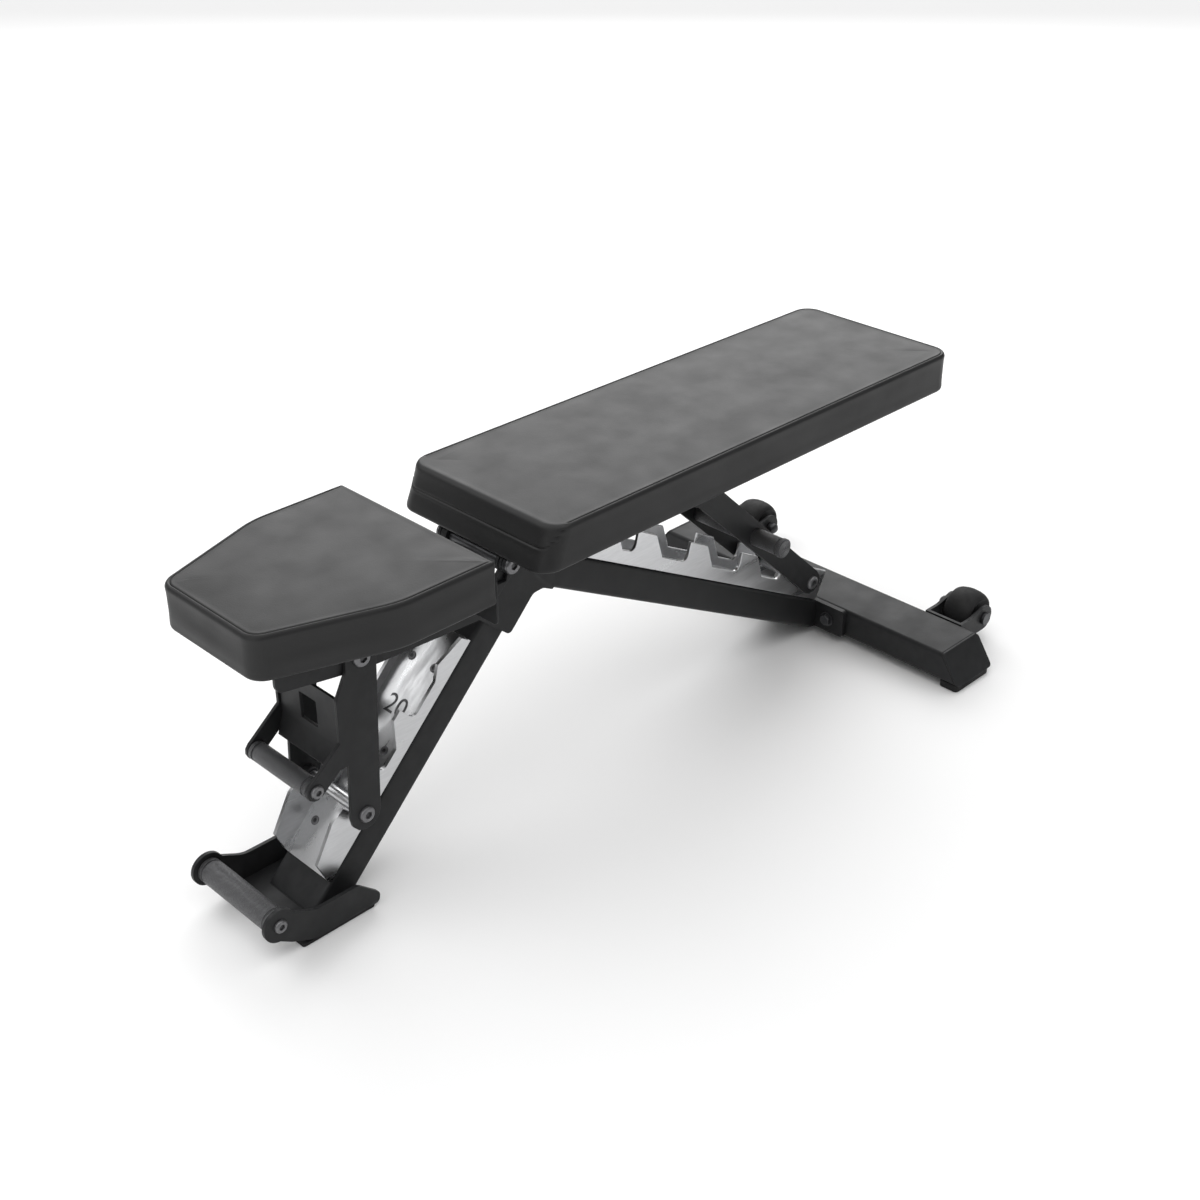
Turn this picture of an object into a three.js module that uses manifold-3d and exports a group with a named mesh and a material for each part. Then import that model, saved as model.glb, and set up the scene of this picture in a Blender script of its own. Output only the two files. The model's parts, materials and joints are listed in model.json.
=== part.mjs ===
// Adjustable weight bench. The seat and the back tilt about one cross pin, and each is
// held up by a swinging strut whose rod drops into the notches of a toothed channel.
// Millimetres. +X runs to the head end, +Y to the left, +Z up. z = 0 is the floor and
// x = 0 is the rear edge of the seat until the whole bench is centred at the end.
import * as THREE from 'three';
import { mergeVertices, toCreasedNormals } from 'three/addons/utils/BufferGeometryUtils.js';
import Module from 'manifold-3d';

const wasm = await Module();
wasm.setup();

const GAP = 0.3;
const PLATE = 5;
const SIDES = [['left', 1], ['right', -1]];

// Frame tubes: a 90 x 46 section with a 3 mm wall.
const TUBE = { width: 90, height: 46, wall: 3, corner: 6 };
const POST = { foot: [-235, 11], pitch: 45.5, length: 435, cutHeight: 12 };
const BEAM = { foot: [721, 60], pitch: 28.1, length: 650 };
const FLANGE = { front: 725, back: 733, halfWidth: 98, bottom: 12.8, top: 57.2 };
const REAR_FOOT = {
  front: 733.3, back: 822, bottom: 11.6, top: 56.3, halfTop: 274, halfBottom: 305, cap: 3.5,
};
const FRONT_FOOT = { plateY: 73, boss: [-297, 53], bossRadius: 22, handleRadius: 16 };
const WHEEL = { x: 884, y: 212.5, z: 43, radius: 36, shoulder: 27, half: 24, bore: 6.5, axle: 6 };

// Pivots in the (x, z) plane. Both pads turn about the main pin.
const MAIN_PIN = [88, 374];
const SEAT_PIVOT = [-143, 345];
const BACK_PIVOT = [436, 349];
const PIN_RADIUS = 8;
const SEAT_STOPS = [0, 10, 20];
const BACK_STOPS = [0, 15, 30, 45, 60, 75, 85];

// Rods that lie in the notches. Each is given by its place in the lowest notch: along
// the tube from its foot, then above the tube's upper face.
const ROD_RADIUS = 8;
const SEAT_ROD = [142, 26];
const BACK_ROD = [44, 28];
const SEAT_GRIP = [-220, 197];
const BACK_GRIP = 188;

// Centres of the side plates, counted outwards from the tubes.
const HUB_Y = 47.8;
const INNER_Y = 53.5;
const OUTER_Y = 59.5;

// Cushions: a wooden board let into the underside of each pad.
const PAD = { bottom: 388, top: 445, edge: 8, board: 12, margin: 16 };
const SEAT_PAD = { rear: -4.5, front: -298, shoulder: -140, halfRear: 141, halfFront: 86 };
// The back's hinge end leans away from the seat by `lean` over the cushion's height.
const BACK_PAD = { front: 72, rear: 887, half: 135.7, lean: 22 };

const FRAME_PAINT = { color: '#33363a', roughness: 0.55, metalness: 0.3 };
const PLATE_PAINT = { color: '#3a3d41', roughness: 0.5, metalness: 0.3 };
const STAINLESS = { color: '#c6c9cc', roughness: 0.3, metalness: 1 };
const DARK_STEEL = { color: '#4a4c4f', roughness: 0.4, metalness: 0.9 };
const VINYL = { color: '#2c2c2f', roughness: 0.6, metalness: 0 };
const RUBBER = { color: '#1d1d1f', roughness: 0.85, metalness: 0 };
const WOOD = { color: '#8a6d4a', roughness: 0.8, metalness: 0 };

const radians = THREE.MathUtils.degToRad;

// ---- plane geometry --------------------------------------------------------------

// A sloping tube's own axes: up its length, and out of its upper face.
function tubeAxes({ foot, pitch }, heading) {
  const c = Math.cos(radians(pitch));
  const s = Math.sin(radians(pitch));
  return { foot, up: [heading * c, s], out: [-heading * s, c] };
}

function fromTube({ foot, up, out }, [along, above]) {
  return [foot[0] + along * up[0] + above * out[0], foot[1] + along * up[1] + above * out[1]];
}

function toTube({ foot, up, out }, [x, z]) {
  const [dx, dz] = [x - foot[0], z - foot[1]];
  return [dx * up[0] + dz * up[1], dx * out[0] + dz * out[1]];
}

function turned([x, z], [cx, cz], degrees) {
  const c = Math.cos(radians(degrees));
  const s = Math.sin(radians(degrees));
  return [cx + (x - cx) * c - (z - cz) * s, cz + (x - cx) * s + (z - cz) * c];
}

// Where a rod lies along its tube with the pad at each stop. The strut keeps its
// length, and in every notch the rod is the same height above the tube.
function rodSeats(axes, pivot, [along, above], padTurn, stops) {
  const rest = fromTube(axes, [along, above]);
  const reach = Math.hypot(rest[0] - pivot[0], rest[1] - pivot[1]);
  return stops.map((stop) => {
    const [pivotAlong, pivotAbove] = toTube(axes, turned(pivot, MAIN_PIN, padTurn * stop));
    return pivotAlong - Math.sqrt(reach ** 2 - (pivotAbove - above) ** 2);
  });
}

const POST_AXES = tubeAxes(POST, 1);
const BEAM_AXES = tubeAxes(BEAM, -1);
const SEAT_ROD_REST = fromTube(POST_AXES, SEAT_ROD);
const BACK_ROD_REST = fromTube(BEAM_AXES, BACK_ROD);
const SEAT_SEATS = rodSeats(POST_AXES, SEAT_PIVOT, SEAT_ROD, -1, SEAT_STOPS);
const BACK_SEATS = rodSeats(BEAM_AXES, BACK_PIVOT, BACK_ROD, 1, BACK_STOPS);

// A closed outline through corners [x, y, radius]; each radius becomes an arc.
function rounded(corners) {
  const shape = new THREE.Shape();
  corners.forEach(([x, y, radius = 0], i) => {
    const corner = new THREE.Vector2(x, y);
    const before = corners[(i + corners.length - 1) % corners.length];
    const after = corners[(i + 1) % corners.length];
    const a = new THREE.Vector2(before[0] - x, before[1] - y).normalize();
    const b = new THREE.Vector2(after[0] - x, after[1] - y).normalize();
    const half = Math.acos(THREE.MathUtils.clamp(a.dot(b), -1, 1)) / 2;
    const put = i === 0 ? 'moveTo' : 'lineTo';
    if (radius === 0) {
      shape[put](x, y);
      return;
    }
    const reach = radius / Math.tan(half);
    const start = corner.clone().addScaledVector(a, reach);
    const end = corner.clone().addScaledVector(b, reach);
    const middle = a.clone().add(b).normalize().multiplyScalar(radius / Math.sin(half));
    const centre = corner.clone().add(middle);
    shape[put](start.x, start.y);
    shape.absarc(
      centre.x, centre.y, radius,
      Math.atan2(start.y - centre.y, start.x - centre.x),
      Math.atan2(end.y - centre.y, end.x - centre.x),
      a.cross(b) > 0,
    );
  });
  return shape;
}

// A bar with round ends about two points.
function stadium([x0, z0], [x1, z1], radius) {
  const heading = Math.atan2(z1 - z0, x1 - x0);
  const shape = new THREE.Shape();
  shape.absarc(x0, z0, radius, heading + Math.PI / 2, heading - Math.PI / 2, false);
  shape.absarc(x1, z1, radius, heading - Math.PI / 2, heading + Math.PI / 2, false);
  return shape;
}

function rectangle(x0, y0, x1, y1, radius = 0) {
  return rounded([[x0, y0, radius], [x1, y0, radius], [x1, y1, radius], [x0, y1, radius]]);
}

// ---- solids ----------------------------------------------------------------------

function solid(geometry) {
  const bare = geometry.clone();
  bare.deleteAttribute('normal');
  bare.deleteAttribute('uv');
  const merged = mergeVertices(bare, 1e-4);
  return new wasm.Manifold(new wasm.Mesh({
    numProp: 3,
    vertProperties: new Float32Array(merged.attributes.position.array),
    triVerts: new Uint32Array(merged.index.array),
  }));
}

function geometryOf(body) {
  const mesh = body.getMesh();
  const geometry = new THREE.BufferGeometry();
  geometry.setAttribute('position', new THREE.BufferAttribute(mesh.vertProperties, 3));
  geometry.setIndex(new THREE.BufferAttribute(mesh.triVerts, 1));
  return toCreasedNormals(geometry, Math.PI / 6);
}

function extrude(shape, depth, curveSegments = 3) {
  return new THREE.ExtrudeGeometry(shape, { depth, bevelEnabled: false, curveSegments });
}

// A plate whose outline lies in (x, z), centred on a given y.
function plate(outline, thickness = PLATE, y = 0) {
  const geometry = extrude(outline, thickness);
  geometry.rotateX(Math.PI / 2);
  geometry.translate(0, y + thickness / 2, 0);
  return solid(geometry);
}

// A plate whose outline lies in (x, y), from one height to another.
function slab(outline, bottom, top) {
  const geometry = extrude(outline, top - bottom);
  geometry.translate(0, 0, bottom);
  return solid(geometry);
}

// A plate whose outline lies in (y, z), from one x to another.
function wall(outline, front, back) {
  const geometry = extrude(outline, back - front);
  geometry.rotateX(Math.PI / 2);
  geometry.rotateZ(Math.PI / 2);
  geometry.translate(front, 0, 0);
  return solid(geometry);
}

// A cylinder across the bench, between two values of y.
function bar(radius, from, to, [x, z] = [0, 0], sides = 24) {
  const geometry = new THREE.CylinderGeometry(radius, radius, to - from, sides);
  geometry.translate(x, (from + to) / 2, z);
  return solid(geometry);
}

// A turned piece lying across the bench, from its [radius, y] profile.
function turnedPiece(profile, [x, z], sides = 28) {
  const geometry = new THREE.LatheGeometry(
    profile.map(([radius, y]) => new THREE.Vector2(radius, y)),
    sides,
  );
  geometry.translate(x, 0, z);
  return solid(geometry);
}

// A hollow length of the frame section along x, its upper face at z = 0.
function tube(length, width = TUBE.width, height = TUBE.height) {
  const outer = rectangle(-width / 2, -height, width / 2, 0, TUBE.corner);
  const inner = rectangle(
    -width / 2 + TUBE.wall, -height + TUBE.wall, width / 2 - TUBE.wall, -TUBE.wall,
    TUBE.corner - TUBE.wall,
  );
  return wall(outer, 0, length).subtract(wall(inner, -1, length + 1));
}

// Turns a solid about y (degrees, head end upwards) and moves it in (x, z).
function leaned(body, degrees, [x, z]) {
  return body.rotate([0, -degrees, 0]).translate([x, 0, z]);
}

// The two flanges of a toothed channel stand on its web. Every rod seat has an upright
// wall on its lower side, bent over the rod by `hook`, and a 45 degree flank above it.
function toothedOutline(foot, seats, { rodHeight, toothTop, topWidth, hook, end }) {
  const floor = rodHeight - ROD_RADIUS - GAP;
  const seatWidth = 2 * ROD_RADIUS + 1;
  const points = [...foot];
  let crest = toothTop;
  seats.forEach((along, i) => {
    const face = along - ROD_RADIUS - GAP;
    points.push([face + hook, crest], [face, rodHeight + 2], [face, floor, ROD_RADIUS + GAP]);
    if (i + 1 < seats.length) {
      const nextFace = seats[i + 1] - ROD_RADIUS - GAP;
      const room = nextFace - face - seatWidth;
      const rise = Math.min(toothTop - floor, room - 2);
      const top = Math.min(topWidth, room - rise);
      crest = floor + rise;
      points.push([nextFace - top - rise, floor], [nextFace - top, crest]);
    }
  });
  return [...points, ...end];
}

function toothedChannel(points) {
  const outline = rounded(points);
  const flangeY = TUBE.width / 2 - PLATE / 2;
  const first = points[0][0];
  const last = points[points.length - 1][0];
  const [low, high] = [Math.min(first, last), Math.max(first, last)];
  const web = plate(rectangle(low, GAP, high, GAP + PLATE), TUBE.width);
  return web.add(plate(outline, PLATE, flangeY)).add(plate(outline, PLATE, -flangeY));
}

// ---- assembly --------------------------------------------------------------------

function add(parent, name, body, finish, position = [0, 0, 0]) {
  const mesh = new THREE.Mesh(geometryOf(body), new THREE.MeshStandardMaterial(finish));
  mesh.name = name;
  mesh.position.set(...position);
  parent.add(mesh);
  return mesh;
}

const bench = new THREE.Group();
const base = new THREE.Group();
const seat = new THREE.Group();
const seatSupport = new THREE.Group();
const back = new THREE.Group();
const backArm = new THREE.Group();
bench.add(base, seat, seatSupport, back, backArm);

// Front foot: two shaped side plates on a flat base plate, with a lifting bar.
const frontSide = plate(rounded([
  [-302, 74.4], [-247, 46.5, 40], [-184, 46, 18], [-153, 19, 9], [-155, 5.3, 6],
  [-252, 5.3, 40], [-284, 21, 40], [-315, 42],
])).add(bar(FRONT_FOOT.bossRadius, -PLATE / 2, PLATE / 2, FRONT_FOOT.boss, 32));
const frontBoltHead = bar(8, 0, 4, [0, 0], 20);
for (const [side, sign] of SIDES) {
  const y = sign * FRONT_FOOT.plateY;
  add(base, `front_side_plate_${side}`, frontSide, PLATE_PAINT, [0, y, 0]);
  const headY = sign > 0 ? y + PLATE / 2 + GAP : y - PLATE / 2 - GAP - 4;
  const [bossX, bossZ] = FRONT_FOOT.boss;
  add(base, `front_handle_bolt_${side}`, frontBoltHead, DARK_STEEL, [bossX, headY, bossZ]);
}
add(base, 'front_foot_base', slab(rectangle(-262, -70, -160, 70), 5.6, 11.7), PLATE_PAINT);
add(base, 'front_rubber_pad', slab(rectangle(-268, -74, -160, 74, 4), 0, 5), RUBBER);
add(base, 'front_handle', bar(FRONT_FOOT.handleRadius, -70.2, 70.2, FRONT_FOOT.boss, 32), DARK_STEEL);

// Post: its lower end is cut level to stand on the foot's base plate.
const belowFoot = slab(rectangle(-400, -60, 0, 60), -100, POST.cutHeight);
const post = leaned(tube(POST.length + 20).translate([-20, 0, 0]), POST.pitch, POST.foot);
add(base, 'post', post.subtract(belowFoot), FRAME_PAINT);

// Beam: cut upright at its lower end and welded to a bolted flange.
const flangeOutline = rectangle(
  -FLANGE.halfWidth, FLANGE.bottom, FLANGE.halfWidth, FLANGE.top, 4,
);
const beyondFlange = slab(rectangle(FLANGE.front + 1, -60, 900, 60), -100, 200);
const belowFlange = slab(rectangle(600, -60, 900, 60), -100, FLANGE.bottom);
const beam = leaned(tube(BEAM.length + 60).translate([-BEAM.length, 0, 0]), -BEAM.pitch, BEAM.foot)
  .subtract(beyondFlange)
  .subtract(belowFlange)
  .add(wall(flangeOutline, FLANGE.front, FLANGE.back));
add(base, 'beam', beam, FRAME_PAINT);
const flangeBolt = solid(new THREE.CylinderGeometry(9, 9, 6, 6).rotateZ(Math.PI / 2));
for (const [side, sign] of SIDES) {
  const x = FLANGE.front - GAP - 3;
  add(base, `flange_bolt_${side}`, flangeBolt, DARK_STEEL, [x, sign * 68, 34]);
}

// Hub: two plates join the ends of the post and the beam and carry the main pin.
const hub = plate(rounded([
  [45, 309, 2], [78, 281], [92, 269, 7], [133, 311.5, 12], [150, 312.5, 12], [168, 303, 3],
  [174, 360, 8], [104, 380, 6], [80, 366], [60, 343, 12],
]))
  .add(bar(13, -PLATE / 2, PLATE / 2, MAIN_PIN))
  .subtract(bar(PIN_RADIUS + GAP, -PLATE, PLATE, MAIN_PIN));
for (const [side, sign] of SIDES) {
  add(base, `hub_plate_${side}`, hub, PLATE_PAINT, [0, sign * HUB_Y, 0]);
}
add(base, 'main_pin', bar(PIN_RADIUS, -64, 64, MAIN_PIN), DARK_STEEL);

// Rear foot: a cross tube with slanted ends, closed by caps, on two rubber feet.
const footWidth = REAR_FOOT.back - REAR_FOOT.front;
const footHeight = REAR_FOOT.top - REAR_FOOT.bottom;
const footX = (REAR_FOOT.front + REAR_FOOT.back) / 2;
const footOutline = rectangle(
  REAR_FOOT.front, REAR_FOOT.bottom, REAR_FOOT.back, REAR_FOOT.top, TUBE.corner,
);
const footBore = rectangle(
  REAR_FOOT.front + TUBE.wall, REAR_FOOT.bottom + TUBE.wall,
  REAR_FOOT.back - TUBE.wall, REAR_FOOT.top - TUBE.wall, TUBE.corner - TUBE.wall,
);
function slanted(inset) {
  const lean = (REAR_FOOT.halfBottom - REAR_FOOT.halfTop) / footHeight;
  const halfAt = (z) => REAR_FOOT.halfBottom - lean * (z - REAR_FOOT.bottom) - inset;
  return wall(rounded([
    [-halfAt(-10), -10], [halfAt(-10), -10], [halfAt(80), 80], [-halfAt(80), 80],
  ]), 700, 860);
}
const footTube = plate(footOutline, 700).subtract(plate(footBore, 702));
add(base, 'rear_foot', footTube.intersect(slanted(REAR_FOOT.cap + GAP)), FRAME_PAINT);
const capLeft = plate(footOutline, 400, 200)
  .intersect(slanted(0))
  .subtract(slanted(REAR_FOOT.cap));
const rubberFoot = slab(
  rectangle(-footWidth / 2 + 3, -16, footWidth / 2 - 3, 16, 6), 0, REAR_FOOT.bottom - GAP,
);
for (const [side, sign] of SIDES) {
  const cap = sign > 0 ? capLeft : capLeft.mirror([0, 1, 0]);
  add(base, `rear_foot_cap_${side}`, cap, RUBBER);
  add(base, `rear_rubber_foot_${side}`, rubberFoot, RUBBER, [footX, sign * 286, 0]);
}

// Transport wheels: each runs on a bolt through a folded bracket on the rear foot.
const tread = [-1, -0.9, -0.7, -0.35, 0, 0.35, 0.7, 0.9, 1].map((share) => [
  WHEEL.shoulder + (WHEEL.radius - WHEEL.shoulder) * Math.sqrt(1 - share ** 2),
  WHEEL.half * share,
]);
const wheel = turnedPiece([
  [WHEEL.bore, -WHEEL.half - 0.5], [11, -WHEEL.half - 0.5], [11, -WHEEL.half + 2],
  [WHEEL.shoulder - 4, -WHEEL.half + 2], ...tread, [WHEEL.shoulder - 4, WHEEL.half - 2],
  [11, WHEEL.half - 2], [11, WHEEL.half + 0.5], [WHEEL.bore, WHEEL.half + 0.5],
  [WHEEL.bore, -WHEEL.half - 0.5],
], [0, 0], 36);
const cheek = rounded([
  [REAR_FOOT.back + GAP, 20], [WHEEL.x - 18, 23, 30], [WHEEL.x, 23], [WHEEL.x, 63],
  [WHEEL.x - 16, 60, 20], [WHEEL.x - 34, 56, 30], [REAR_FOOT.back + GAP, 56],
]);
const bracket = plate(cheek, PLATE, -30)
  .add(plate(cheek, PLATE, 30))
  .add(bar(20, -32.5, -27.5, [WHEEL.x, WHEEL.z], 32))
  .add(bar(20, 27.5, 32.5, [WHEEL.x, WHEEL.z], 32))
  .add(wall(rectangle(-32.5, 20, 32.5, 56), REAR_FOOT.back + GAP, REAR_FOOT.back + GAP + PLATE))
  .subtract(bar(WHEEL.axle + GAP, -50, 50, [WHEEL.x, WHEEL.z]));
const axle = turnedPiece([
  [0, -47], [5, -46.2], [8.5, -43], [8.5, -32.8], [WHEEL.axle, -32.8], [WHEEL.axle, 32.8], [10, 32.8],
  [10, 38], [0, 38],
], [0, 0], 24);
for (const [side, sign] of SIDES) {
  const at = [WHEEL.x, sign * WHEEL.y, WHEEL.z];
  const outward = sign > 0 ? axle : axle.mirror([0, 1, 0]);
  add(base, `wheel_bracket_${side}`, bracket, PLATE_PAINT, [0, at[1], 0]);
  add(base, `wheel_axle_${side}`, outward, DARK_STEEL, at);
  add(base, `wheel_${side}`, wheel, RUBBER, at);
}

// Toothed channels on the post and on the beam.
const seatLadder = toothedOutline(
  [[47, GAP], [47, 5], [59, 35], [113, 50]],
  SEAT_SEATS,
  {
    rodHeight: SEAT_ROD[1], toothTop: 47, topWidth: 14, hook: 0,
    end: [[317, 17.7], [337, 29], [379, 16], [382, GAP]],
  },
);
const postFrame = new THREE.Group();
postFrame.position.set(POST.foot[0], 0, POST.foot[1]);
postFrame.rotation.y = -radians(POST.pitch);
base.add(postFrame);
add(postFrame, 'seat_ladder', toothedChannel(seatLadder), STAINLESS);

const backLadder = toothedOutline(
  [[-2, GAP], [-2, 48]],
  BACK_SEATS,
  {
    rodHeight: BACK_ROD[1], toothTop: 48, topWidth: 36, hook: 4,
    end: [[625, 19.7], [625, GAP]],
  },
);
const beamFrame = new THREE.Group();
beamFrame.position.set(BEAM.foot[0], 0, BEAM.foot[1]);
beamFrame.rotation.y = radians(BEAM.pitch);
base.add(beamFrame);
const backChannel = toothedChannel(
  backLadder.map(([along, above, radius]) => [-along, above, radius]),
);
add(beamFrame, 'back_ladder', backChannel, STAINLESS);

// Seat: two long side plates, a cross plate, the board and the cushion.
const seatSide = plate(rounded([
  [-254, 387.7, 4], [-255, 343, 12], [-130, 322, 30], [46, 314, 20], [104, 364, 6],
  [92, 384], [84, 351], [-5, 351], [-5, 387.7, 4],
]))
  .add(bar(12, -PLATE / 2, PLATE / 2, MAIN_PIN))
  .subtract(bar(PIN_RADIUS + GAP, -PLATE, PLATE, MAIN_PIN))
  .subtract(bar(PIN_RADIUS + GAP, -PLATE, PLATE, SEAT_PIVOT));
for (const [side, sign] of SIDES) {
  add(seat, `seat_side_plate_${side}`, seatSide, PLATE_PAINT, [0, sign * INNER_Y, 0]);
}
const underPad = PAD.bottom - GAP;
add(seat, 'seat_cross_plate', slab(rectangle(-240, -50.7, -60, 50.7), underPad - 3.7, underPad), PLATE_PAINT);
add(seat, 'seat_link_pin', bar(PIN_RADIUS, -64, 64, SEAT_PIVOT), DARK_STEEL);

// A cushion with a rounded top edge and a pocket for its board. Its hinge end, the part
// before `leanEnd`, can lean back towards the head end as it rises.
function cushion(outline, pocket, lean = 0, leanEnd = 0) {
  const depth = PAD.top - PAD.bottom - PAD.edge + 30;
  const geometry = new THREE.ExtrudeGeometry(outline, {
    depth, curveSegments: 4, bevelSegments: 3,
    bevelSize: PAD.edge, bevelOffset: -PAD.edge, bevelThickness: PAD.edge,
  });
  geometry.translate(0, 0, PAD.bottom - 30);
  const points = geometry.attributes.position;
  for (let i = 0; i < points.count; i += 1) {
    if (points.getX(i) < leanEnd) {
      const rise = (points.getZ(i) - PAD.bottom) / (PAD.top - PAD.bottom);
      points.setX(i, points.getX(i) + lean * rise);
    }
  }
  const below = slab(rectangle(-500, -300, 1100, 300), PAD.bottom - 60, PAD.bottom);
  return solid(geometry)
    .subtract(below)
    .subtract(slab(pocket, PAD.bottom - 1, PAD.bottom + PAD.board + GAP));
}

function seatOutline(inset, rearRadius, frontRadius) {
  const { rear, front, shoulder, halfRear, halfFront } = SEAT_PAD;
  return rounded([
    [rear - inset, -halfRear + inset, rearRadius], [rear - inset, halfRear - inset, rearRadius],
    [shoulder, halfRear - inset, 120], [front + inset, halfFront - inset, frontRadius],
    [front + inset, -halfFront + inset, frontRadius], [shoulder, -halfRear + inset, 120],
  ]);
}

function backOutline(inset, radius) {
  const { front, rear, half } = BACK_PAD;
  return rectangle(front + inset, -half + inset, rear - inset, half - inset, radius);
}

const boardTop = PAD.bottom + PAD.board;
const seatPocket = seatOutline(PAD.margin - GAP, 4, 14);
add(seat, 'seat_board', slab(seatOutline(PAD.margin, 4, 14), PAD.bottom, boardTop), WOOD);
add(seat, 'seat_pad', cushion(seatOutline(0, 10, 26), seatPocket), VINYL);
add(seat, 'seat_rear_plate', wall(rounded([
  [-138, 359, 6], [138, 359, 6], [138, 426, 12], [-138, 426, 12],
]), -4.2, -1.2), PLATE_PAINT);

// Seat strut: forked side plates, a bent web between them, the rod and a hand grip.
const supportPlate = plate(stadium(SEAT_PIVOT, SEAT_ROD_REST, 22))
  .add(plate(stadium([-155, 250], SEAT_GRIP, 13)))
  .add(plate(rounded([
    [-160, 345], [-182, 302, 8], [-182, 232, 12], [-194, 209], [-150, 209],
  ])))
  .subtract(bar(PIN_RADIUS + GAP, -PLATE, PLATE, SEAT_PIVOT));
const webY = OUTER_Y - PLATE / 2 - GAP;
const web = plate(rounded([
  [-179, 301], [-179, 232], [-188, 204], [-184, 203], [-175, 232], [-175, 301],
]), 2 * webY).subtract(wall(rectangle(-16, 244, 16, 280, 2), -200, -160));
for (const [side, sign] of SIDES) {
  const outside = OUTER_Y + PLATE / 2 + GAP;
  const head = (radius) => bar(radius, sign > 0 ? 0 : -4.5, sign > 0 ? 4.5 : 0, [0, 0], 20);
  const bush = bar(11, -5.5, 5.5);
  const at = ([x, z], y) => [x, sign * y, z];
  add(seatSupport, `seat_support_${side}`, supportPlate, PLATE_PAINT, [0, sign * OUTER_Y, 0]);
  add(seatSupport, `seat_rod_bush_${side}`, bush, DARK_STEEL, at(SEAT_ROD_REST, 51.2));
  add(seatSupport, `seat_rod_bolt_${side}`, head(9.5), DARK_STEEL, at(SEAT_ROD_REST, outside));
  add(seatSupport, `seat_handle_bolt_${side}`, head(8), DARK_STEEL, at(SEAT_GRIP, outside));
}
add(seatSupport, 'seat_support_web', web, PLATE_PAINT);
add(seatSupport, 'seat_rod', bar(ROD_RADIUS, -39.5, 39.5, SEAT_ROD_REST), STAINLESS);
add(seatSupport, 'seat_handle', bar(12.5, -webY, webY, SEAT_GRIP, 32), DARK_STEEL);

// Back: two rails, a cross plate, the board and the long cushion.
const backRail = plate(rounded([
  [84, 386.5], [100, 387.7], [470, 387.7, 4], [470, 372, 6], [452, 330, 20], [424, 330, 20],
  [380, 352, 30], [150, 352, 30], [92, 362.5],
]))
  .add(bar(12, -PLATE / 2, PLATE / 2, MAIN_PIN))
  .subtract(bar(PIN_RADIUS + GAP, -PLATE, PLATE, MAIN_PIN))
  .subtract(bar(PIN_RADIUS + GAP, -PLATE, PLATE, BACK_PIVOT));
for (const [side, sign] of SIDES) {
  add(back, `back_rail_${side}`, backRail, PLATE_PAINT, [0, sign * OUTER_Y, 0]);
}
add(back, 'back_cross_plate', slab(rectangle(250, -56.7, 400, 56.7), underPad - 3.7, underPad), PLATE_PAINT);
add(back, 'back_arm_pin', bar(PIN_RADIUS, -64, 64, BACK_PIVOT), DARK_STEEL);
add(back, 'back_board', slab(backOutline(PAD.margin, 14), PAD.bottom, boardTop), WOOD);
const backPocket = backOutline(PAD.margin - GAP, 14);
const backBody = cushion(backOutline(0, 28), backPocket, BACK_PAD.lean, BACK_PAD.front + 100);
add(back, 'back_pad', backBody, VINYL);

// Back strut: two arms, the rod that drops into the notches, and a long hand grip.
const armHeading = Math.atan2(BACK_PIVOT[1] - BACK_ROD_REST[1], BACK_PIVOT[0] - BACK_ROD_REST[0]);
const backGrip = [
  BACK_ROD_REST[0] + BACK_GRIP * Math.cos(armHeading),
  BACK_ROD_REST[1] + BACK_GRIP * Math.sin(armHeading),
];
const arm = plate(stadium(BACK_ROD_REST, BACK_PIVOT, 19))
  .subtract(bar(PIN_RADIUS + GAP, -PLATE, PLATE, BACK_PIVOT))
  .subtract(bar(13 + GAP, -PLATE, PLATE, backGrip, 32));
for (const [side, sign] of SIDES) {
  const outside = INNER_Y + PLATE / 2 + GAP;
  const head = bar(10, sign > 0 ? 0 : -5, sign > 0 ? 5 : 0, [0, 0], 20);
  const at = (y) => [BACK_ROD_REST[0], sign * y, BACK_ROD_REST[1]];
  add(backArm, `back_arm_${side}`, arm, PLATE_PAINT, [0, sign * INNER_Y, 0]);
  add(backArm, `back_rod_bush_${side}`, bar(11, -2.5, 2.5), DARK_STEEL, at(48.2));
  add(backArm, `back_rod_bolt_${side}`, head, DARK_STEEL, at(outside));
}
add(backArm, 'back_rod', bar(ROD_RADIUS, -39.5, 39.5, BACK_ROD_REST), STAINLESS);
add(backArm, 'back_handle', turnedPiece([
  [0, -108], [13, -108], [14.5, -106.5], [14.5, -98], [13, -97], [13, 97], [14.5, 98],
  [14.5, 106.5], [13, 108], [0, 108],
], backGrip, 32), DARK_STEEL);

// Centre the bench over the origin.
const frontEnd = FRONT_FOOT.boss[0] - FRONT_FOOT.bossRadius;
const rearEnd = WHEEL.x + WHEEL.radius;
bench.position.x = -(frontEnd + rearEnd) / 2;

export default bench;
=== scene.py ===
"""Adjustable weight bench: the looks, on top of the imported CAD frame. Metres, +Z up."""
import json
import math

import bmesh
import bpy
import numpy as np
from mathutils import Matrix, Vector
from mathutils.bvhtree import BVHTree


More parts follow.
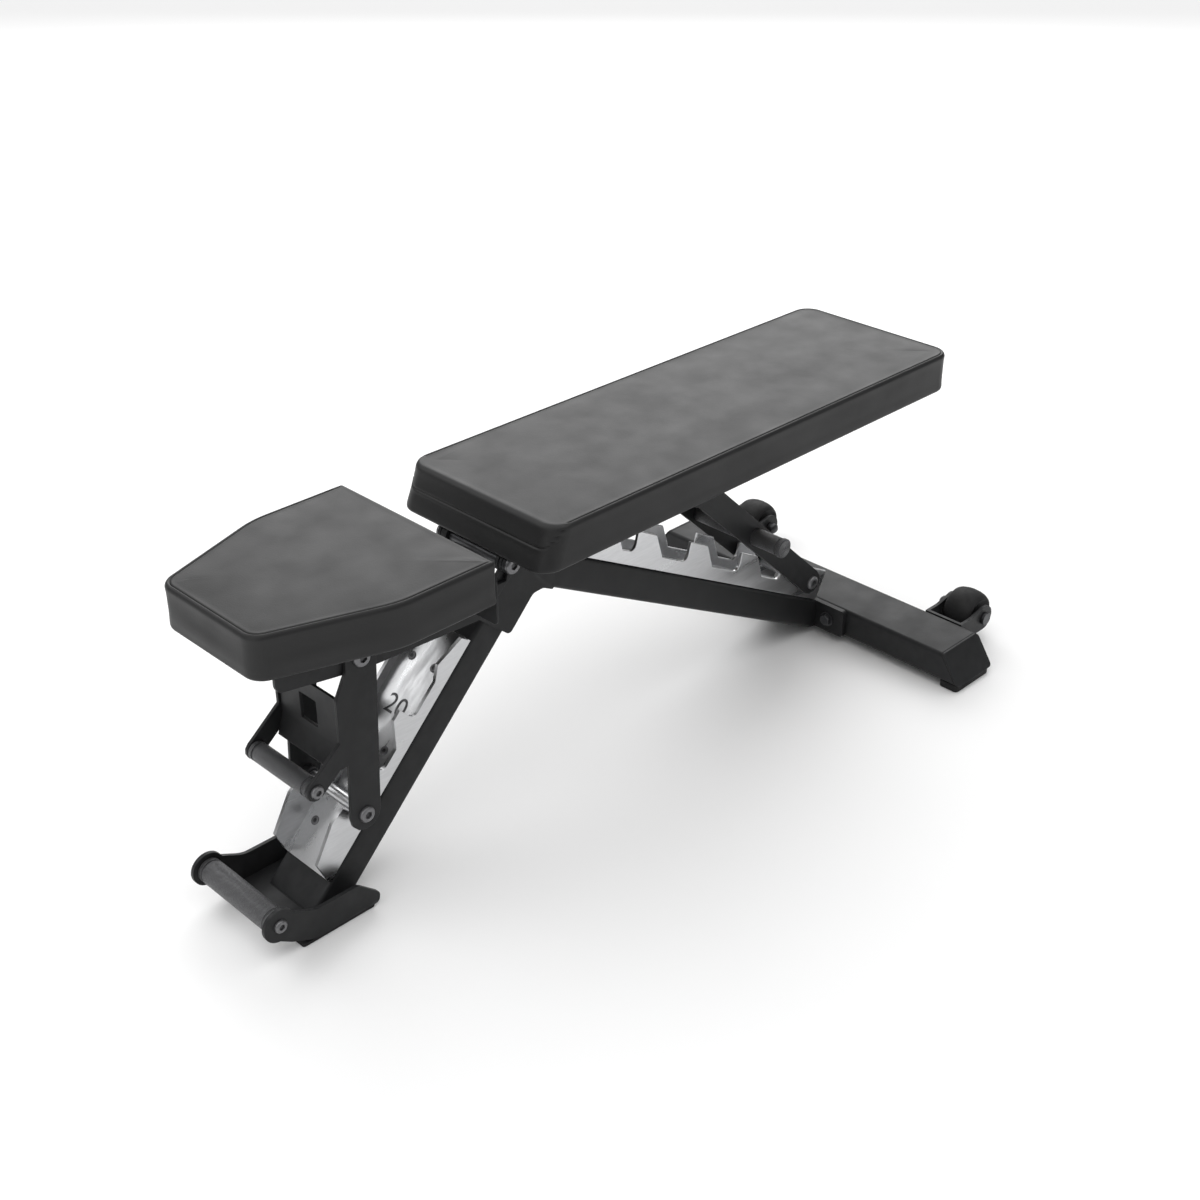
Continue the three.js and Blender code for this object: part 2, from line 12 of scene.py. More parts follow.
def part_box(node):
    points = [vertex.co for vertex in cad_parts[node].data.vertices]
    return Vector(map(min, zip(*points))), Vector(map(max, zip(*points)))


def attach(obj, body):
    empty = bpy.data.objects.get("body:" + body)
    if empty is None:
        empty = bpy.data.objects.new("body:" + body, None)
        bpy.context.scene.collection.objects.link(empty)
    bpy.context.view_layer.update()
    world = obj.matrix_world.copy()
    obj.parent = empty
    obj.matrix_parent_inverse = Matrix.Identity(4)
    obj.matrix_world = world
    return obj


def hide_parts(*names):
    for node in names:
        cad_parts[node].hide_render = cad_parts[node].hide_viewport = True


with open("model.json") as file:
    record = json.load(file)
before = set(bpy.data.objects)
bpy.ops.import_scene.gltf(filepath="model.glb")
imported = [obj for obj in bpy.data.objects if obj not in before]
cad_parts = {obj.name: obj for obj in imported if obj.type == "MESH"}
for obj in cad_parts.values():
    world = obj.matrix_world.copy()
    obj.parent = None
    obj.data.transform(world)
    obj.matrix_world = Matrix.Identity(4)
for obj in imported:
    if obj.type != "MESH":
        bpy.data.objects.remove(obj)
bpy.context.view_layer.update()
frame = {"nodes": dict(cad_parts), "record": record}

NODES = frame["nodes"]
BODY_OF = {n: b for b, nodes in frame["record"]["behaviour"]["bodies"].items() for n in nodes}
SCENE = bpy.context.scene
SIDES = (("left", 1), ("right", -1))

# Metres from the row frame's origin to the seat's rear edge.
SHIFT = -0.3005

# Slopes of the two main tubes, in degrees, and the lower ends of their upper faces, in mm.
POST_SLOPE, POST_START = 45.5, (-235, 0, 11)
BEAM_SLOPE, BEAM_START = 28.1, (721, 0, 60)

# Bevels, in metres: on most parts, and on the channels and rubber feet.
FINE_EDGE, SOFT_EDGE = 0.0008, 0.0012

# Pins and rods: their radius, chamfer and half lengths, in metres.
PIN_RADIUS, PIN_CHAMFER = 0.008, 0.001
PIN_HALF, ROD_HALF = 0.0624, 0.0455

# Screws in the channels: height of the web's face over the tube (mm), and their heads (m).
WEB_FACE = 5.3
SCREW_RADIUS, SCREW_HEIGHT = 0.006, 0.0012

# Cushions, in mm: levels of the underside and top, radius of the lip round the top, and
# the place where the back cushion's lean has died out, with the run over which it does so.
PAD_BOTTOM, PAD_TOP, LIP = 388.0, 445.0, 5.5
LEAN_END, LEAN_RUN = 172, 60

# Blown core: voxel size and board thickness (m), cloth frames and pressure.
VOXEL, BOARD_LEVEL = 0.0055, 0.014
CLOTH_FRAMES, PRESSURE = 20, 4.0

# Studio: the dome's strength low down and overhead, and the height where it starts to rise.
DOME_LOW, DOME_HIGH, DOME_FROM = 0.1, 1.75, 0.35
FLOOR_REACH = 30
CAMERA_AZIMUTH, CAMERA_ELEVATION = -44.97, 30.03


def at(x, y, z):
    """A point of the bench in millimetres from the seat's rear edge, in the row frame."""
    return Vector((x / 1000 + SHIFT, y / 1000, z / 1000))


# ---- materials -------------------------------------------------------------------

class Surface:
    """A Principled material with small helpers for its procedural nodes."""

    def __init__(self, name, colour, roughness, metallic=0.0, specular=0.5):
        self.material = bpy.data.materials.new(name)
        self.material.use_nodes = True
        self.tree = self.material.node_tree
        self.bsdf = self.tree.nodes["Principled BSDF"]
        self.bsdf.inputs["Base Color"].default_value = (*colour, 1)
        self.bsdf.inputs["Roughness"].default_value = roughness
        self.bsdf.inputs["Metallic"].default_value = metallic
        self.bsdf.inputs["Specular IOR Level"].default_value = specular
        self.coords = self.tree.nodes.new("ShaderNodeTexCoord").outputs["Object"]

    def node(self, kind, inputs=None, **settings):
        """A new node, its inputs given as plain values or as sockets to link."""
        made = self.tree.nodes.new(kind)
        for key, value in settings.items():
            setattr(made, key, value)
        for key, value in (inputs or {}).items():
            if isinstance(value, bpy.types.NodeSocket):
                self.tree.links.new(value, made.inputs[key])
            else:
                made.inputs[key].default_value = value
        return made

    def noise(self, scale, detail=3.0, stretch=(1, 1, 1)):
        """Noise in the piece's own space."""
        stretched = self.node(
            "ShaderNodeMapping", {"Vector": self.coords, "Scale": stretch}
        ).outputs["Vector"]
        return self.node(
            "ShaderNodeTexNoise", {"Vector": stretched, "Scale": scale, "Detail": detail}
        ).outputs["Fac"]

    def math(self, operation, *values):
        """One arithmetic step on sockets or plain values."""
        made = self.node("ShaderNodeMath", operation=operation)
        for socket, value in zip(made.inputs, values):
            if isinstance(value, bpy.types.NodeSocket):
                self.tree.links.new(value, socket)
            else:
                socket.default_value = value
        return made.outputs[0]

    def spread(self, value, low, high, floor=0.0, ceiling=1.0):
        """Maps low to high onto floor to ceiling."""
        return self.node("ShaderNodeMapRange", {
            "Value": value, "From Min": low, "From Max": high, "To Min": floor, "To Max": ceiling,
        }).outputs["Result"]

    def tint(self, amount, other):
        """Mixes another colour into the base by a varying amount."""
        mix = self.node("ShaderNodeMix", data_type="RGBA")
        base = self.bsdf.inputs["Base Color"]
        if base.is_linked:
            self.tree.links.new(base.links[0].from_socket, mix.inputs["A"])
        else:
            mix.inputs["A"].default_value = base.default_value
        mix.inputs["B"].default_value = (*other, 1)
        self.tree.links.new(amount, mix.inputs["Factor"])
        self.tree.links.new(mix.outputs["Result"], base)
        return self

    def rough(self, value, low, high):
        """Varies the roughness between two values."""
        self.tree.links.new(self.spread(value, 0.3, 0.7, low, high), self.bsdf.inputs["Roughness"])
        return self

    def bump(self, height, strength, distance):
        """Adds bump on top of any that is there already."""
        made = self.node("ShaderNodeBump", {
            "Height": height, "Strength": strength, "Distance": distance,
        })
        normal = self.bsdf.inputs["Normal"]
        if normal.is_linked:
            self.tree.links.new(normal.links[0].from_socket, made.inputs["Normal"])
        self.tree.links.new(made.outputs["Normal"], normal)
        return self

    def highlit_edges(self, colour, amount):
        """Paints a highlight on convex edges, in patches, as a lighter colour."""
        point = self.node("ShaderNodeNewGeometry").outputs["Pointiness"]
        edge = self.spread(point, 0.52, 0.62, 0.0, amount)
        # Painted highlight: the edge mask, broken into patches by noise.
        edge_highlight = self.math("MULTIPLY", edge, self.spread(self.noise(60), 0.35, 0.65, 0.3, 1.0))
        return self.tint(edge_highlight, colour)


def paint(name, colour):
    s = Surface(name, colour, 0.45, specular=0.2)
    s.tint(s.spread(s.noise(14, 4), 0.35, 0.7, 0.0, 0.35), tuple(1.3 * c for c in colour))
    s.rough(s.noise(25, 5), 0.4, 0.5)
    s.bump(s.noise(1500, 2), 0.35, 0.00012)
    s.bump(s.noise(160, 3), 0.15, 0.0003)
    # Painted highlight along the convex edges.
    return s.highlit_edges((0.06, 0.061, 0.063), 0.5).material


def brushed_steel(name, colour, stretch):
    s = Surface(name, colour, 0.3, metallic=1.0)
    grain = s.noise(420, 4, stretch)
    s.tint(s.spread(grain, 0.3, 0.7, 0.0, 0.45), tuple(0.8 * c for c in colour))
    s.rough(s.noise(30, 4, stretch), 0.24, 0.4)
    s.bump(grain, 0.25, 0.00008)
    s.bsdf.inputs["Anisotropic"].default_value = 0.5
    return s.material


def blackened(name, colour=(0.05, 0.051, 0.054)):
    s = Surface(name, colour, 0.38, metallic=0.75)
    s.tint(s.spread(s.noise(90, 4), 0.4, 0.7, 0.0, 0.5), tuple(1.7 * c for c in colour))
    s.rough(s.noise(140, 3), 0.3, 0.46)
    s.bump(s.noise(900, 2), 0.2, 0.0001)
    # Painted highlight along the convex edges.
    return s.highlit_edges((0.2, 0.2, 0.205), 0.6).material


def knurled(name, around, along):
    """Crossed helical grooves round the piece's own Z axis, with bright worn peaks."""
    s = Surface(name, (0.035, 0.036, 0.038), 0.4, metallic=0.8)
    split = s.node("ShaderNodeSeparateXYZ", {"Vector": s.coords})
    turn = s.math("ARCTAN2", split.outputs["Y"], split.outputs["X"])
    wound = s.math("MULTIPLY", turn, around)
    run = s.math("MULTIPLY", split.outputs["Z"], along)
    one = s.math("SINE", s.math("ADD", wound, run))
    other = s.math("SINE", s.math("SUBTRACT", wound, run))
    peaks = s.math("MULTIPLY", s.math("ABSOLUTE", one), s.math("ABSOLUTE", other))
    rough = s.math("ADD", peaks, s.math("MULTIPLY", s.noise(1300, 2), 0.5))
    s.tint(s.spread(rough, 0.62, 1.15, 0.0, 0.75), (0.42, 0.42, 0.43))
    s.rough(s.noise(500, 2), 0.28, 0.5)
    s.bump(peaks, 0.9, 0.0007)
    s.bump(s.noise(900, 2), 0.5, 0.0003)
    return s.material


def upholstery(name):
    s = Surface(name, (0.0165, 0.0165, 0.0168), 0.46, specular=0.27)
    cells = s.node("ShaderNodeTexVoronoi", {"Vector": s.coords, "Scale": 620.0}).outputs["Distance"]
    s.tint(s.spread(s.noise(9, 5), 0.35, 0.7, 0.0, 0.25), (0.024, 0.024, 0.0243))
    s.rough(s.noise(18, 4), 0.42, 0.52)
    s.bump(cells, 0.22, 0.00022)
    s.bump(s.noise(240, 4), 0.18, 0.0002)
    # Painted shade: the seam attribute holds the crease's depth, and the crease is darkened to near
    # black by it.
    seam = s.node("ShaderNodeAttribute", attribute_name="seam").outputs["Fac"]
    return s.tint(s.spread(seam, 0.1, 0.9, 0.0, 0.85), (0.003, 0.003, 0.003)).material


def rubber(name, colour=(0.011, 0.011, 0.0115)):
    s = Surface(name, colour, 0.72, specular=0.3)
    s.tint(s.spread(s.noise(30, 5), 0.4, 0.7, 0.0, 0.5), (0.02, 0.0195, 0.019))
    s.rough(s.noise(70, 3), 0.6, 0.8)
    s.bump(s.noise(700, 3), 0.3, 0.0002)
    return s.material


def plywood(name):
    s = Surface(name, (0.1, 0.066, 0.04), 0.7)
    grain = s.noise(60, 6, (1, 9, 9))
    s.tint(s.spread(grain, 0.35, 0.65, 0.0, 0.8), (0.05, 0.03, 0.018))
    s.rough(grain, 0.6, 0.8)
    s.bump(grain, 0.3, 0.0003)
    return s.material


FRAME_PAINT = paint("frame_paint", (0.0135, 0.0138, 0.0145))
PLATE_PAINT = paint("plate_paint", (0.015, 0.0153, 0.016))
STAINLESS = brushed_steel("stainless", (0.63, 0.635, 0.645), (0.12, 3.0, 1.0))
DARK_STEEL = blackened("dark_steel")
# Near-black: painted shade on the screws' socket floors, and the print of the angle mark.
RECESS_SHADE_AND_PRINT = blackened("socket_shade_and_print", (0.008, 0.008, 0.009))
SCREW = blackened("screw_grey", (0.16, 0.16, 0.165))
VINYL = upholstery("vinyl")
RUBBER = rubber("rubber")
TYRE = rubber("tyre", (0.012, 0.012, 0.0125))
BOARD = plywood("board")


def material_of(node):
    if node in ("post", "beam", "rear_foot"):
        return FRAME_PAINT
    if node.endswith("ladder"):
        return STAINLESS
    if node.endswith("board"):
        return BOARD
    if node in ("wheel_left", "wheel_right"):
        return TYRE
    if "rubber" in node:
        return RUBBER
    if any(word in node for word in ("bush", "pin", "axle", "bolt", "handle", "rod")):
        return DARK_STEEL
    return PLATE_PAINT


# ---- mesh helpers ----------------------------------------------------------------

def link(name, mesh, material):
    obj = bpy.data.objects.new(name, mesh)
    SCENE.collection.objects.link(obj)
    mesh.materials.clear()
    mesh.materials.append(material)
    return obj


def smooth(mesh, sharp=35):
    """Smooth shading, with edges steeper than `sharp` degrees kept crisp."""
    bm = bmesh.new()
    bm.from_mesh(mesh)
    for face in bm.faces:
        face.smooth = True
    for edge in bm.edges:
        edge.smooth = len(edge.link_faces) == 2 and edge.calc_face_angle() < math.radians(sharp)
    bm.to_mesh(mesh)
    bm.free()


def eased(node, width):
    """A copy of a CAD node with its edges rounded over, standing in for the node."""
    bm = bmesh.new()
    bm.from_mesh(NODES[node].data)
    bmesh.ops.remove_doubles(bm, verts=bm.verts, dist=1e-6)
    bmesh.ops.dissolve_limit(bm, angle_limit=math.radians(1), verts=bm.verts, edges=bm.edges)
    mesh = bpy.data.meshes.new(f"{node}_eased")
    bm.to_mesh(mesh)
    bm.free()
    smooth(mesh)
    obj = link(f"{node}_shape", mesh, material_of(node))
    bevel = obj.modifiers.new("ease", "BEVEL")
    bevel.width = width
    bevel.segments = 2
    bevel.limit_method = "ANGLE"
    bevel.angle_limit = math.radians(40)
    bevel.harden_normals = True
    apply_modifiers(obj)
    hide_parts(node)
    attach(obj, BODY_OF[node])


def apply_modifiers(obj):
    graph = bpy.context.evaluated_depsgraph_get()
    mesh = bpy.data.meshes.new_from_object(obj.evaluated_get(graph))
    obj.modifiers.clear()
    obj.data = mesh


def hexagon(across):
    """Radius at an angle of a hexagon with this half width across its flats."""
    return lambda a: across / math.cos((a + math.pi / 6) % (math.pi / 3) - math.pi / 6)


def turned_piece(name, rings, material, sides=48, sharp=35):
    """A piece turned about Z from (radius, height) rings; a radius may be a function."""
    bm = bmesh.new()
    loops = []
    for radius, height in rings:
        if radius == 0:
            loops.append([bm.verts.new((0, 0, height))])
            continue
        reach = radius if callable(radius) else (lambda a, r=radius: r)
        angles = [2 * math.pi * i / sides for i in range(sides)]
        loops.append([
            bm.verts.new((reach(a) * math.cos(a), reach(a) * math.sin(a), height)) for a in angles
        ])
    for low, high in zip(loops, loops[1:]):
        for i in range(sides):
            j = (i + 1) % sides
            if len(low) == 1:
                bm.faces.new((low[0], high[j], high[i]))
            elif len(high) == 1:
                bm.faces.new((low[i], low[j], high[0]))
            else:
                bm.faces.new((low[i], low[j], high[j], high[i]))
    bmesh.ops.recalc_face_normals(bm, faces=bm.faces)
    mesh = bpy.data.meshes.new(name)
    bm.to_mesh(mesh)
    bm.free()
    smooth(mesh, sharp)
    return link(name, mesh, material)


def point_along(obj, where, direction):
    """Puts a turned piece at a point with its Z axis along a direction."""
    turn = Vector(direction).normalized().to_track_quat("Z", "Y").to_matrix().to_4x4()
    obj.matrix_world = Matrix.Translation(where) @ turn
    return obj


def socket_bolt(name, where, direction, radius, height, body, *nodes):
    """A button head with a six-sided socket; its socket floor is a second piece, near-black as
    painted shade in the recess.
    """
    key = hexagon(radius * 0.42)
    head = turned_piece(name, [
        (0, -0.0002), (radius, -0.0002), (radius, height * 0.35), (radius * 0.96, height * 0.62),
        (radius * 0.86, height * 0.88), (radius * 0.72, height), (radius * 0.55, height),
        (key, height - 0.0002), (key, height * 0.4), (0, height * 0.4),
    ], SCREW)
    point_along(head, where, direction)
    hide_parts(*nodes)
    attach(head, body)
    # Painted shade: a near-black disc on the socket's floor.
    floor = turned_piece(f"{name}_socket", [
        (0, height * 0.3), (key, height * 0.3), (key, height * 0.46), (0, height * 0.46),
    ], RECESS_SHADE_AND_PRINT)
    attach(point_along(floor, where, direction), body)


def hex_bolt(name, where, direction, across, height, body, *nodes):
    """A hexagon head on a washer."""
    flats = hexagon(across)
    head = turned_piece(name, [
        (0, 0), (across * 1.45, 0), (across * 1.45, 0.0014), (flats, 0.0015),
        (flats, height * 0.84), (across * 0.98, height), (across * 0.7, height * 0.97),
        (0, height * 0.97),
    ], DARK_STEEL, sharp=25)
    point_along(head, where, direction)
    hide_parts(*nodes)
    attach(head, body)


def grip(name, centre, radius, half, body, material, collar, *nodes):
    """A knurled bar across the bench with turned ends."""
    neck = radius - 0.0012
    flare = radius + collar
    ends = [
        (0, -half), (neck, -half), (flare, -half + 0.0012), (flare, -half + 0.006),
        (neck, -half + 0.0068), (neck, -half + 0.009), (radius, -half + 0.0098),
    ]
    rings = ends + [(r, -z) for r, z in reversed(ends)]
    bar = turned_piece(name, rings, material, sides=64)
    point_along(bar, centre, (0, 1, 0))
    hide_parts(*nodes)
    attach(bar, body)


# ---- cushions --------------------------------------------------------------------

def inflated_core(node, shrink=0.003, cap=0.0055):
    """The CAD cushion, drawn in a little and blown up by cloth pressure on its board."""
    low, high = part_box(node)
    middle, size = (low + high) / 2, high - low
    mesh = NODES[node].data.copy()
    for v in mesh.vertices:
        for axis in range(3):
            away = (v.co[axis] - middle[axis]) / size[axis] * 2
            v.co[axis] -= away * shrink
    core = link(f"{node}_core", mesh, VINYL)
    remesh = core.modifiers.new("remesh", "REMESH")
    remesh.mode = "VOXEL"
    remesh.voxel_size = VOXEL
    apply_modifiers(core)
    rest = np.array([v.co for v in core.data.vertices])
    held = core.vertex_groups.new(name="board")
    on_board = [i for i, p in enumerate(rest) if p[2] < low.z + BOARD_LEVEL]
    held.add(on_board, 1.0, "REPLACE")
    cloth = core.modifiers.new("cloth", "CLOTH")
    cloth.settings.use_pressure = True
    cloth.settings.uniform_pressure_force = PRESSURE
    cloth.settings.vertex_group_mass = "board"
    cloth.settings.effector_weights.gravity = 0
    cloth.point_cache.frame_start = 1
    cloth.point_cache.frame_end = CLOTH_FRAMES
    for step in range(1, CLOTH_FRAMES + 1):
        SCENE.frame_set(step)
    graph = bpy.context.evaluated_depsgraph_get()
    blown = np.array([v.co for v in core.evaluated_get(graph).data.vertices])
    move = blown - rest
    length = np.linalg.norm(move, axis=1, keepdims=True)
    move *= np.minimum(1.0, cap / np.maximum(length, 1e-9))
    core.modifiers.clear()
    for v, p in zip(core.data.vertices, rest + move):
        v.co = p
    SCENE.frame_set(1)
    tree = BVHTree.FromPolygons(
        [v.co.copy() for v in core.data.vertices], [tuple(p.vertices) for p in core.data.polygons]
    )
    bpy.data.objects.remove(core, do_unlink=True)
    return tree


def outline(corners, inset, per_corner=10, per_side=14):
    """Points round a rounded polygon (x, y, radius), drawn in by `inset`."""
    count = len(corners)
    points = [Vector((x, y)) for x, y, _ in corners]
    edges = [(points[(i + 1) % count] - points[i]).normalized() for i in range(count)]
    inward = [Vector((-e.y, e.x)) for e in edges]
    moved = []
    for i in range(count):
        before, here = edges[i - 1], edges[i]
        a = points[i] + inward[i - 1] * inset
        b = points[i] + inward[i] * inset
        cross = before.x * here.y - before.y * here.x
        gap = b - a
        moved.append(a + before * ((gap.x * here.y - gap.y * here.x) / cross))
    arcs = []
    for i in range(count):
        before, here = edges[i - 1], edges[i]
        bend = before.angle(here)
        radius = max(corners[i][2] - inset, 1.5)
        reach = radius * math.tan(bend / 2)
        start = moved[i] - before * reach
        centre = start + inward[i - 1] * radius
        first = math.atan2(start.y - centre.y, start.x - centre.x)
        arcs.append([
            centre + radius * Vector((math.cos(first + bend * k / per_corner),
                                      math.sin(first + bend * k / per_corner)))
            for k in range(per_corner + 1)
        ])
    loop = []
    for i in range(count):
        loop += arcs[i]
        start, end = arcs[i][-1], arcs[(i + 1) % count][0]
        loop += [start.lerp(end, k / per_side) for k in range(1, per_side)]
    return np.array([tuple(p) for p in loop])


def pad_profile():
    """(inset, height) down the cover: from under the pad, up its side, over the lip, in."""
    under = [(40.0, 391.0), (15.2, 391.0), (15.0, 388.6), (14.0, 388.2), (5.0, 388.1)]
    heel = [
        (5 - 5 * math.sin(a), 393.1 - 5 * math.cos(a))
        for a in np.linspace(0.3, math.pi / 2, 5)
    ]
    side = [(0.0, z) for z in np.arange(395.0, PAD_TOP - LIP, 1.25)]
    lip = [
        (LIP - LIP * math.cos(a), PAD_TOP - LIP + LIP * math.sin(a))
        for a in np.linspace(0, math.pi / 2, 9)
    ]
    near = [(LIP + d, PAD_TOP) for d in (0.6, 1.2, 1.8, 2.4, 3.0, 3.8, 5.0, 7.0, 10.0)]
    far = [(LIP + d, PAD_TOP) for d in (15.0, 22.0, 32.0, 44.0, 58.0)]
    return under + heel + side + lip + near + far


def cover_rings(corners, profile, lean):
    """Rows of points (mm) over a cushion, one row for each point of the profile. The
    end near x = 0 leans back by `lean` as it rises."""
    rings = np.array([
        np.c_[outline(corners, inset), np.full(len(outline(corners, inset)), height)]
        for inset, height in profile
    ])
    rise = (rings[:, :, 2] - PAD_BOTTOM) / (PAD_TOP - PAD_BOTTOM)
    rings[:, :, 0] += lean * rise * np.clip((LEAN_END - rings[:, :, 0]) / LEAN_RUN, 0, 1)
    return rings


def seam_relief(corners, profile, end_x, end_sign, drop):
    """Depth of the seam's crease (0 to 1) and height of the puff beside it, all over."""
    run = np.r_[0, np.cumsum([math.dist(p, q) for p, q in zip(profile, profile[1:])])]
    # The side and the lip, where the profile's height only rises.
    rising = slice(12, len(profile) - 14)
    heights = [height for _, height in profile]
    top_seam = np.interp(PAD_TOP - 0.3, heights[rising], run[rising]) + 2.2
    edge_x = outline(corners, 0)[:, 0]
    fade = 24.0 if drop else 6.0
    nearness = np.clip(1 - end_sign * (edge_x - end_x) / fade, 0, 1)
    nearness = nearness ** 2 * (3 - 2 * nearness)
    seam_at = top_seam - nearness * drop
    sewn = np.ones(len(edge_x)) if drop else 1 - nearness
    off = run[:, None] - seam_at[None, :]
    crease = np.exp(-(off / 0.8) ** 2) * sewn
    above = np.exp(-((off - 2.8) / 1.8) ** 2) * 0.2
    below = np.exp(-((off + 2.8) / 1.8) ** 2) * 0.5
    return crease, (above + below) * sewn


def ring_normals(rings):
    """Unit normals of the rows of points."""
    across = np.roll(rings, -1, axis=1) - np.roll(rings, 1, axis=1)
    climb = np.gradient(rings, axis=0)
    normals = np.cross(across, climb)
    return normals / np.maximum(np.linalg.norm(normals, axis=2, keepdims=True), 1e-9)


def blown_relief(core, rings, normals, profile):
    """How far the blown core stands out of the cover (mm), smoothed, on its open faces."""
    count = rings.shape[1]
    bulge = np.zeros(rings.shape[:2])
    for index, (p, n) in enumerate(zip(rings.reshape(-1, 3), normals.reshape(-1, 3))):
        hit = core.find_nearest(at(*p))[0]
        push = (Vector(hit) - at(*p)).dot(Vector(n)) * 1000 + 3.0
        bulge[index // count, index % count] = min(max(push, -1.5), 3.0)
    bulge *= np.array([
        0.0 if (inset < LIP + 6 and height > 436) or height < 398 else 1.0
        for inset, height in profile
    ])[:, None]
    for _ in range(8):
        bulge = (bulge + np.roll(bulge, 1, 1) + np.roll(bulge, -1, 1)) / 3
        bulge[1:-1] = (bulge[:-2] + bulge[1:-1] + bulge[2:]) / 3
    return bulge


def cover_mesh(name, rings):
    """A closed skin through the rows of points, filled in on top and underneath."""
    count = rings.shape[1]
    bm = bmesh.new()
    grid = [[bm.verts.new(at(*p)) for p in ring] for ring in rings]
    spine = rings[-1].mean(axis=0)
    for share in (0.7, 0.4, 0.12):
        ring = spine + (rings[-1] - spine) * share
        ring[:, 2] = rings[-1][:, 2].mean() * (1 - share) + rings[-1][:, 2] * share
        grid.append([bm.verts.new(at(*p)) for p in ring])
    for low, high in zip(grid, grid[1:]):
        for i in range(count):
            j = (i + 1) % count
            bm.faces.new((low[i], low[j], high[j], high[i]))
    bm.faces.new(grid[-1])
    bm.faces.new(list(reversed(grid[0])))
    bmesh.ops.recalc_face_normals(bm, faces=bm.faces)
    mesh = bpy.data.meshes.new(name)
    bm.to_mesh(mesh)
    bm.free()
    return mesh


def cushion(name, node, corners, end_x, end_sign, drop, lean=0.0):
    """A sewn cover over the blown core. The seam runs round the top edge. At the end
    near end_x the top panel wraps over: there the seam drops `drop` mm down the end
    face, or fades out if drop is zero. That end leans back by `lean` as it rises."""
    core = inflated_core(node)
    profile = pad_profile()
    rings = cover_rings(corners, profile, lean)
    crease, puff = seam_relief(corners, profile, end_x, end_sign, drop)
    normals = ring_normals(rings)
    bulge = blown_relief(core, rings, normals, profile)
    exposed = np.array([1.0 if height > 396 else 0.0 for _, height in profile])[:, None]
    lift = 0.4 * bulge * exposed + (puff - 1.1 * crease) * exposed
    mesh = cover_mesh(name, rings + normals * lift[:, :, None])
    # Painted shade in the seam's crease, stored as the seam attribute.
    crease_shade = np.zeros(len(mesh.vertices))
    crease_shade[:crease.size] = (crease * exposed).reshape(-1)
    mesh.attributes.new("seam", "FLOAT", "POINT").data.foreach_set("value", crease_shade)
    smooth(mesh, 60)
    cover = link(name, mesh, VINYL)
    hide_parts(node)
    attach(cover, BODY_OF[node])


cushion("back_cushion", "back_pad", [
    (72, -135.7, 28), (887, -135.7, 28), (887, 135.7, 28), (72, 135.7, 28),
], end_x=72, end_sign=1, drop=31, lean=22)
cushion("seat_cushion", "seat_pad", [
    (-298, -86, 26), (-140, -141, 120), (-4.5, -141, 4), (-4.5, 141, 4), (-140, 141, 120),
    (-298, 86, 26),
], end_x=-4.5, end_sign=-1, drop=0)

# ---- hard parts ------------------------------------------------------------------

# The cushions have their covers. Pins, bolts, rods and grips get turned shapes below.
SPECIAL = {
    "seat_pad", "back_pad", "main_pin", "seat_link_pin", "back_arm_pin", "seat_rod", "back_rod",
    "front_handle", "seat_handle", "back_handle",
}
SPECIAL |= {n for n in NODES if "_bolt_" in n}
for node in NODES:
    if node not in SPECIAL:
        eased(node, SOFT_EDGE if "ladder" in node or "rubber" in node else FINE_EDGE)

KNURL = knurled("knurl", 26, 900)
COARSE = knurled("knurl_coarse", 34, 1050)

post_slope, beam_slope = math.radians(POST_SLOPE), math.radians(BEAM_SLOPE)
post_up = Vector((math.cos(post_slope), 0, math.sin(post_slope)))
post_out = Vector((-post_up.z, 0, post_up.x))
beam_up = Vector((-math.cos(beam_slope), 0, math.sin(beam_slope)))
beam_out = Vector((beam_up.z, 0, -beam_up.x))


def on_post(along, across, out):
    """A point (mm) along the post, across it, and out from its upper face."""
    sideways = Vector((0, across / 1000, 0))
    return at(*POST_START) + post_up * along / 1000 + sideways + post_out * out / 1000


def on_beam(along, across, out):
    """A point (mm) along the beam, across it, and out from its upper face."""
    sideways = Vector((0, across / 1000, 0))
    return at(*BEAM_START) + beam_up * along / 1000 + sideways + beam_out * out / 1000


def centre_of(node):
    low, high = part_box(node)
    return (low + high) / 2


for name, node, radius, half, body, material, collar in (
    ("front_grip", "front_handle", 0.016, 0.0702, "base", COARSE, 0.0),
    ("seat_grip", "seat_handle", 0.0125, 0.0567, "seat_strut", COARSE, 0.0),
    ("back_grip", "back_handle", 0.013, 0.108, "back_strut", KNURL, 0.0012),
):
    grip(name, centre_of(node), radius, half, body, material, collar, node)


def plain_pin(name, node, half, body):
    """A round bar across the bench with chamfered ends."""
    inner = PIN_RADIUS - PIN_CHAMFER
    pin = turned_piece(name, [
        (0, -half), (inner, -half), (PIN_RADIUS, -half + PIN_CHAMFER),
        (PIN_RADIUS, half - PIN_CHAMFER), (inner, half), (0, half),
    ], STAINLESS if "rod" in node else DARK_STEEL)
    point_along(pin, centre_of(node), (0, 1, 0))
    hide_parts(node)
    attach(pin, body)


plain_pin("seat_rod_bar", "seat_rod", ROD_HALF, "seat_strut")
plain_pin("back_rod_bar", "back_rod", ROD_HALF, "back_strut")
for name, node, body in (
    ("main_pin_bar", "main_pin", "base"),
    ("seat_link_bar", "seat_link_pin", "seat"),
    ("back_link_bar", "back_arm_pin", "back"),
):
    plain_pin(name, node, PIN_HALF, body)
    for side, sign in SIDES:
        head = centre_of(node) + Vector((0, sign * PIN_HALF, 0))
        socket_bolt(f"{name}_head_{side}", head, (0, sign, 0), 0.0115, 0.005, body)

